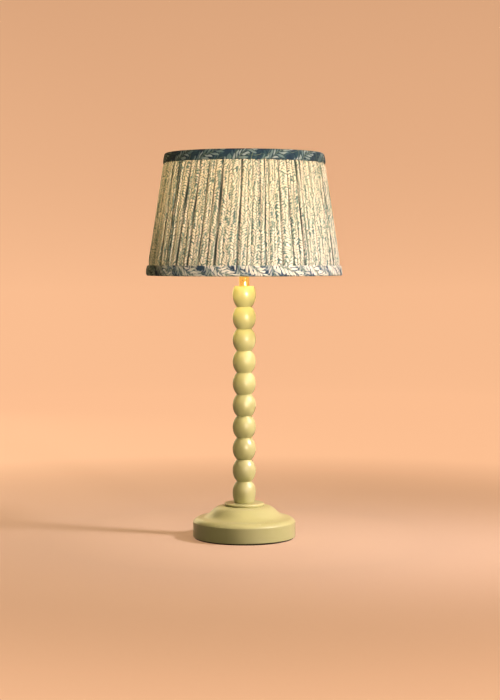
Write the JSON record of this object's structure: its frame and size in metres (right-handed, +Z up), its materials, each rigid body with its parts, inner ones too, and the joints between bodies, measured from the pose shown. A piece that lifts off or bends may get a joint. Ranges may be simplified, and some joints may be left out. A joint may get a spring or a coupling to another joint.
{
  "type": "table lamp",
  "caption": "Table lamp: round turned foot, column of stacked beads, brass neck, screw-cap lampholder with bulb, and a tapered gathered fabric shade on a wire frame.",
  "frame": {"origin": "centre of the felt pad's underside", "axes": "+Z up along the column; the lamp's front faces -Y and the mains inlet is at the back, +Y"},
  "size_m": [0.2496, 0.2496, 0.49],
  "materials": {
    "painted_wood": "satin pale sage green paint on turned wood",
    "felt": "dark pressed felt",
    "cast_iron": "as cast, black",
    "zinc_steel": "bright zinc plate",
    "rubber": "matt black",
    "clamp_plastic": "matt black moulding",
    "polished_brass": "polished and lacquered",
    "contact_brass": "plain rolled",
    "moulded_insert": "dark phenolic moulding",
    "switch_plastic": "glossy black",
    "cover_print": "cotton, small leaf print in cream and green on blue-green",
    "binding_print": "the same cotton laid flat",
    "lining_cloth": "plain off-white cotton",
    "frame_wire": "white powder coat",
    "opal_glass": "opal white",
    "stem_glass": "clear",
    "led_filament": "phosphor-coated",
    "bulb_cap_metal": "plain drawn",
    "black_glass": "black vitreous",
    "solder": "soldered"
  },
  "bodies": {
    "base": {"foot": "painted_wood", "stem_collar": "painted_wood", "bead_01": "painted_wood", "bead_02": "painted_wood", "bead_03": "painted_wood", "bead_04": "painted_wood", "bead_05": "painted_wood", "bead_06": "painted_wood", "bead_07": "painted_wood", "bead_08": "painted_wood", "bead_09": "painted_wood", "bead_10": "painted_wood", "felt_pad": "felt", "foot_weight": "cast_iron", "threaded_tube": "zinc_steel", "bottom_washer": "zinc_steel", "lock_washer": "zinc_steel", "bottom_nut": "zinc_steel", "weight_screws": "zinc_steel", "clamp_screws": "zinc_steel", "terminal_screws": "zinc_steel", "cable_bush": "rubber", "cable_clamp": "clamp_plastic", "neck_tube": "polished_brass", "lampholder_cap": "polished_brass", "lampholder_barrel": "polished_brass", "seat_ring": "polished_brass", "screw_shell": "contact_brass", "centre_contact": "contact_brass", "side_contact": "contact_brass", "lampholder_insulator": "moulded_insert"},
    "switch": {"switch_bar": "switch_plastic"},
    "shade": {"shade_cover": "cover_print", "shade_lining": "lining_cloth", "top_binding": "binding_print", "bottom_binding": "binding_print", "top_wire": "frame_wire", "bottom_wire": "frame_wire", "fitter_ring": "frame_wire", "fitter_arm_1": "frame_wire", "fitter_arm_2": "frame_wire", "fitter_arm_3": "frame_wire", "strut_1": "frame_wire", "strut_2": "frame_wire", "strut_3": "frame_wire", "strut_4": "frame_wire", "strut_5": "frame_wire", "strut_6": "frame_wire"},
    "shade_ring": {"shade_ring": "polished_brass"},
    "bulb_tip": {"bulb_tip": "solder"},
    "bulb": {"bulb_glass": "opal_glass", "bulb_stem": "stem_glass", "led_filaments": "led_filament", "bulb_cap": "bulb_cap_metal", "cap_insulator": "black_glass"}
  },
  "joints": [
    {"name": "switch_push", "type": "slide", "parent": "base", "child": "switch", "axis": [1, 0, 0], "range_m": [0, 0.004]},
    {"name": "shade_turn", "type": "hinge", "parent": "base", "child": "shade", "pos_m": [0, 0, 0.377], "axis": [0, 0, 1], "continuous": true},
    {"name": "shade_ring_turn", "type": "hinge", "parent": "base", "child": "shade_ring", "pos_m": [0, 0, 0.38], "axis": [0, 0, 1], "range_deg": [0, 90]},
    {"name": "bulb_rise", "type": "slide", "parent": "base", "child": "bulb_tip", "axis": [0, 0, 1], "range_m": [0, 0.01452]},
    {"name": "bulb_turn", "type": "hinge", "parent": "bulb_tip", "child": "bulb", "pos_m": [0, 0, 0.38], "axis": [0, 0, 1], "range_deg": [0, 1440]}
  ],
  "couplings": [
    {"joint": "bulb_rise", "follows": "bulb_turn", "m_per_rad": 0.00057757}
  ]
}
